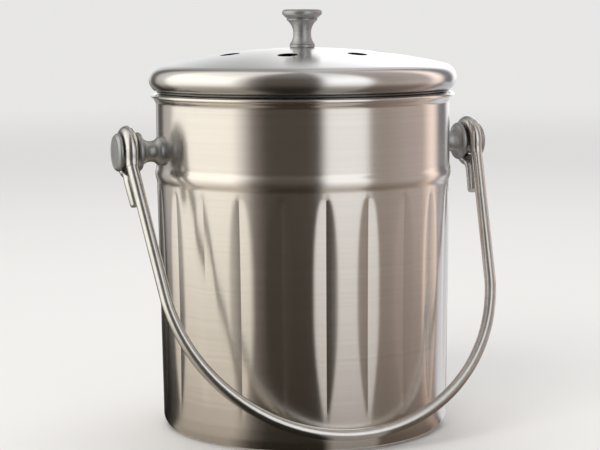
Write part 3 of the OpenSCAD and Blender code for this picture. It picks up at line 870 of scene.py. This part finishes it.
def lamp(name, place, aim, side, power, tint):
    """A soft square lamp that doesn't show in the metal, because the cards stand for it there."""
    bpy.ops.object.select_all(action="DESELECT")
    bpy.ops.object.light_add(type="AREA", location=place)
    made = bpy.context.object
    made.name = name
    light = made.data
    light.shape, light.size, light.size_y = "RECTANGLE", side, side
    light.energy, light.color = power, tint
    made.rotation_euler = (Vector(aim) - Vector(place)).to_track_quat("-Z", "Y").to_euler()
    made.visible_glossy = False


# What stands round the caddy in reflections: where it begins and ends, in degrees from the camera round to
# the right, and its colour. One fades into the next in the gap between them.
STUDIO_PANELS = (
    ("middle of the back wall", -180, -180, (0.5, 0.5, 0.5)),
    ("dark slit", -167, -167, (0.12, 0.12, 0.12)),
    ("pale slit", -160, -160, (0.5, 0.49, 0.48)),
    ("left dark gap", -152, -141, (0.07, 0.065, 0.06)),
    ("dim wall", -137, -124, (0.44, 0.42, 0.4)),
    ("left window", -117, -55, (1.0, 0.97, 0.9)),
    ("window's curtain", -38, -38, (0.19, 0.17, 0.16)),
    ("dark room", -28, 12, (0.07, 0.06, 0.05)),
    ("right window", 19, 49, (0.87, 0.87, 0.88)),
    ("far end of the warm wall", 54, 66, (0.34, 0.3, 0.27)),
    ("warm wall", 92, 106, (0.45, 0.39, 0.37)),
    ("warm lamp", 116, 122, (0.97, 0.82, 0.75)),
    ("right dark gap", 131, 144, (0.14, 0.14, 0.15)),
    ("pale panel", 153, 164, (0.85, 0.86, 0.9)),
    ("middle of the back wall", 180, 180, (0.5, 0.5, 0.5)),
)


def panels(bench, camera_turn, squeeze=None):
    """Colour of the studio in a point's direction, and that direction as a share of a turn.

    A squeeze under 1 draws the panels in towards the camera's side.
    """
    x, y = bench.place()[:2]
    c, s = math.cos(camera_turn), math.sin(camera_turn)
    turn = bench.node("ShaderNodeMath", {"operation": "ARCTAN2"}, {0: x * c + y * s, 1: x * s - y * c})
    if squeeze:
        turn = turn / squeeze
    share = turn / (2 * math.pi) + 0.5
    places = sorted({(edge, tint) for _, first, last, tint in STUDIO_PANELS for edge in (first, last)})
    stops = [((edge + 180) / 360, tint) for edge, tint in places]
    return bench.node("ShaderNodeValToRGB", {"stops": stops}, {0: share}), share


def glow(bench, face):
    """Ends a studio card's finish: it glows evenly, and returns the material."""
    light = bench.node("ShaderNodeEmission", None, {0: face, 1: STUDIO_GLOW})
    bench.node("ShaderNodeOutputMaterial", None, {0: light})
    return bench.material


def surround(camera_turn):
    """Studio round the caddy, as the metal sees it: panels, a pale ceiling and a white back wall."""
    bpy.ops.object.select_all(action="DESELECT")
    bpy.ops.mesh.primitive_uv_sphere_add(
        segments=64, ring_count=32, radius=STUDIO_RADIUS, location=(0, 0, 0)
    )
    wall = bpy.context.object
    wall.name = "studio_surround"
    bench = Bench("studio_panels")
    sides, share = panels(bench, camera_turn)
    x, y, z = bench.place()
    lift = z / STUDIO_RADIUS
    aside = (x * math.cos(camera_turn) + y * math.sin(camera_turn)) / STUDIO_RADIUS
    ceiling = bench.blend(0.38, (0.36, 0.36, 0.36, 1), sides)
    # Above the table the panels are brighter, apart from the warm wall, which is a little dimmer
    brighter, dimming = 1.24, 0.36
    warm_wall = share.smooth(0.645, 0.67) - share.smooth(0.79, 0.81)
    gain = brighter - warm_wall * dimming
    gain = (gain - 1) * lift.smooth(0.0, 0.2) + 1
    raised = bench.multiply(sides, bench.join(gain, gain, gain))
    room = bench.blend(lift.smooth(0.45, 1.2), raised, ceiling)
    # The back wall is brighter to the right, and reaches higher there
    right = aside.smooth(-0.09, 0.04)
    white = bench.blend(right, (0.82, 0.83, 0.85, 1), (1.3, 1.3, 1.32, 1))
    wall_top = lift.smooth(0.18, 0.58) * (1 - right) + lift.smooth(0.42, 0.62) * right
    back = bench.blend(wall_top, white, ceiling)
    behind = ((share - 0.5) ** 2).smooth(0.17, 0.2)
    sky = bench.blend(behind * lift.smooth(-0.02, 0.06), room, back)
    wall.data.materials.append(glow(bench, sky))
    glossy_only(wall)


def ground(base, backdrop):
    """Pale floor that runs out into the backdrop. The metal doesn't reflect it."""
    bpy.ops.object.select_all(action="DESELECT")
    bpy.ops.mesh.primitive_plane_add(size=16, location=(0, 0, 0))
    floor = bpy.context.object
    floor.name = "floor"
    floor.visible_glossy = False
    bench = Bench("studio_floor")
    x, y, z = bench.place()
    cloud = bench.noise(bench.join(x, y, z), scale=3, detail=3, rough=0.5)
    face = bench.blend(cloud, shade(base, 0.985), shade(base, 1.015))
    near = bench.node("ShaderNodeBsdfDiffuse", None, {0: face})
    far = bench.node("ShaderNodeEmission", None, {0: backdrop, 1: 1.0})
    away = ((x * x + y * y) ** 0.5).smooth(0.5, 3.0)
    mixed = bench.node("ShaderNodeMixShader", None, {0: away, 1: near, 2: far})
    bench.node("ShaderNodeOutputMaterial", None, {0: mixed})
    floor.data.materials.append(bench.material)


def table(camera_turn):
    """Table top that the metal reflects instead of the floor.

    It has the studio's colours, drawn in, and painted shade that makes it dimmer near the caddy.
    """
    bpy.ops.object.select_all(action="DESELECT")
    bpy.ops.mesh.primitive_circle_add(vertices=96, radius=1, fill_type="NGON", location=(0, 0, 0.4 * MM))
    card = bpy.context.object
    card.name = "table_card"
    bench = Bench("table_card")
    x, y = bench.place()[:2]
    distance = (x * x + y * y) ** 0.5
    drawn_in = 1 - 0.035 * (distance + 0.02) ** -1
    sides, share = panels(bench, camera_turn, drawn_in)
    # Painted shade: the card darkens towards the caddy, most of all close by outside the lit directions
    lit = share.smooth(0.14, 0.2) + 1 - share.smooth(0.0, 0.045)
    open_floor = distance.smooth(0.25, 0.65)
    dim = (distance**0.45) * ((lit + open_floor - lit * open_floor) * 0.85 + 0.15)
    tint = bench.join(dim, dim * (distance * 0.1 + 0.9), dim * (distance * 0.2 + 0.8))
    face = bench.multiply(sides, tint)
    pale_stretch = share.smooth(0.85, 0.89) - share.smooth(0.95, 1.0)
    face = bench.blend(pale_stretch, face, (0.66, 0.66, 0.69, 1))
    card.data.materials.append(glow(bench, face))
    glossy_only(card)


def light_world(scene, backdrop):
    """Even light from all round, and the backdrop's own colour where it is seen."""
    world = bpy.data.worlds.new("studio")
    scene.world = world
    world.use_nodes = True
    tree = world.node_tree
    tree.nodes.clear()
    path = tree.nodes.new("ShaderNodeLightPath")
    seen = [path.outputs[n] for n in ("Is Camera Ray", "Is Glossy Ray", "Is Transmission Ray")]
    for name in seen[1:]:
        either = tree.nodes.new("ShaderNodeMath")
        either.operation = "MAXIMUM"
        tree.links.new(seen[0], either.inputs[0])
        tree.links.new(name, either.inputs[1])
        seen[0] = either.outputs[0]
    light, plain = (tree.nodes.new("ShaderNodeBackground") for _ in range(2))
    fill = 0.62
    light.inputs[0].default_value, light.inputs[1].default_value = (1, 1, 1, 1), fill
    plain.inputs[0].default_value, plain.inputs[1].default_value = backdrop, 1.0
    mix = tree.nodes.new("ShaderNodeMixShader")
    out = tree.nodes.new("ShaderNodeOutputWorld")
    for source, target in ((seen[0], mix.inputs[0]), (light.outputs[0], mix.inputs[1]),
                           (plain.outputs[0], mix.inputs[2]), (mix.outputs[0], out.inputs[0])):
        tree.links.new(source, target)


def place_camera():
    """Camera at the photograph's place: 108.9 mm lens, 87 cm from the caddy's axis."""
    turn, distance, height = math.radians(-19.9), 868.1 * MM, 199.1 * MM
    heading, pitch, roll = turn + math.radians(0.114), math.radians(6.79), math.radians(0.43)
    ahead = Vector((-math.sin(heading), math.cos(heading), 0))
    right = Vector((math.cos(heading), math.sin(heading), 0))
    up = Vector((0, 0, 1))
    forward = ahead * math.cos(pitch) - up * math.sin(pitch)
    above = up * math.cos(pitch) + ahead * math.sin(pitch)
    right, above = (
        right * math.cos(roll) - above * math.sin(roll),
        above * math.cos(roll) + right * math.sin(roll),
    )
    bpy.ops.object.select_all(action="DESELECT")
    bpy.ops.object.camera_add()
    camera = bpy.context.object
    camera.matrix_world = Matrix((right, above, -forward)).transposed().to_4x4()
    camera.location = (distance * math.sin(turn), -distance * math.cos(turn), height)
    camera.data.sensor_width = SENSOR_WIDTH
    camera.data.lens = FOCAL_PIXELS / PHOTO_WIDTH * SENSOR_WIDTH
    camera.data.clip_start, camera.data.clip_end = 0.01, 60
    bpy.context.scene.camera = camera
    return turn


class CADDY_OT_stage(bpy.types.Operator):
    """Set the camera, the pale floor and the soft studio light"""

    bl_idname = "caddy.stage"
    bl_label = "Stage"

    def execute(self, context):
        turn = place_camera()
        surround(turn)
        ground(context.scene.caddy_colours.floor, BACKDROP)
        table(turn)
        lamp("key_lamp", (-1.1, -0.9, 1.3), aim=(0, 0, 0.08), side=1.2, power=14, tint=(1, 0.99, 0.97))
        lamp("top_lamp", (0.3, 0.5, 1.7), aim=(0, 0, 0.1), side=1.4, power=12, tint=(1, 1, 1))
        light_world(context.scene, BACKDROP)
        context.scene.view_settings.view_transform = "Standard"
        return {"FINISHED"}


class CADDY_PT_sidebar(bpy.types.Panel):
    """Lists the caddy's pieces and sizes"""

    bl_idname = "CADDY_PT_sidebar"
    bl_label = "Compost Caddy"
    bl_space_type = "VIEW_3D"
    bl_region_type = "UI"
    bl_category = "Caddy"

    def draw(self, context):
        column = self.layout.column()
        for operator in OPERATORS:
            column.operator(operator.bl_idname)
        for name in GROUPS:
            group = getattr(context.scene, name)
            box = self.layout.box()
            for key in group.bl_rna.properties.keys():
                if key not in {"rna_type", "name"}:
                    box.prop(group, key)


GROUPS = {
    "caddy_can": CaddyCanSizes,
    "caddy_lid": CaddyLidSizes,
    "caddy_bail": CaddyBailSizes,
    "caddy_colours": CaddyColours,
}
OPERATORS = [
    CADDY_OT_can, CADDY_OT_lid, CADDY_OT_knob, CADDY_OT_lugs, CADDY_OT_bail, CADDY_OT_filter,
    CADDY_OT_metalwork, CADDY_OT_stage,
]


def register():
    for cls in (*GROUPS.values(), *OPERATORS, CADDY_PT_sidebar):
        bpy.utils.register_class(cls)
    for name, cls in GROUPS.items():
        setattr(bpy.types.Scene, name, bpy.props.PointerProperty(type=cls))


def unregister():
    for name in GROUPS:
        delattr(bpy.types.Scene, name)
    for cls in (CADDY_PT_sidebar, *reversed(OPERATORS), *GROUPS.values()):
        bpy.utils.unregister_class(cls)


def main():
    """Builds the caddy piece by piece."""
    register()
    for operator in OPERATORS:
        group, name = operator.bl_idname.split(".")
        getattr(getattr(bpy.ops, group), name)()


if __name__ == "__main__":
    main()
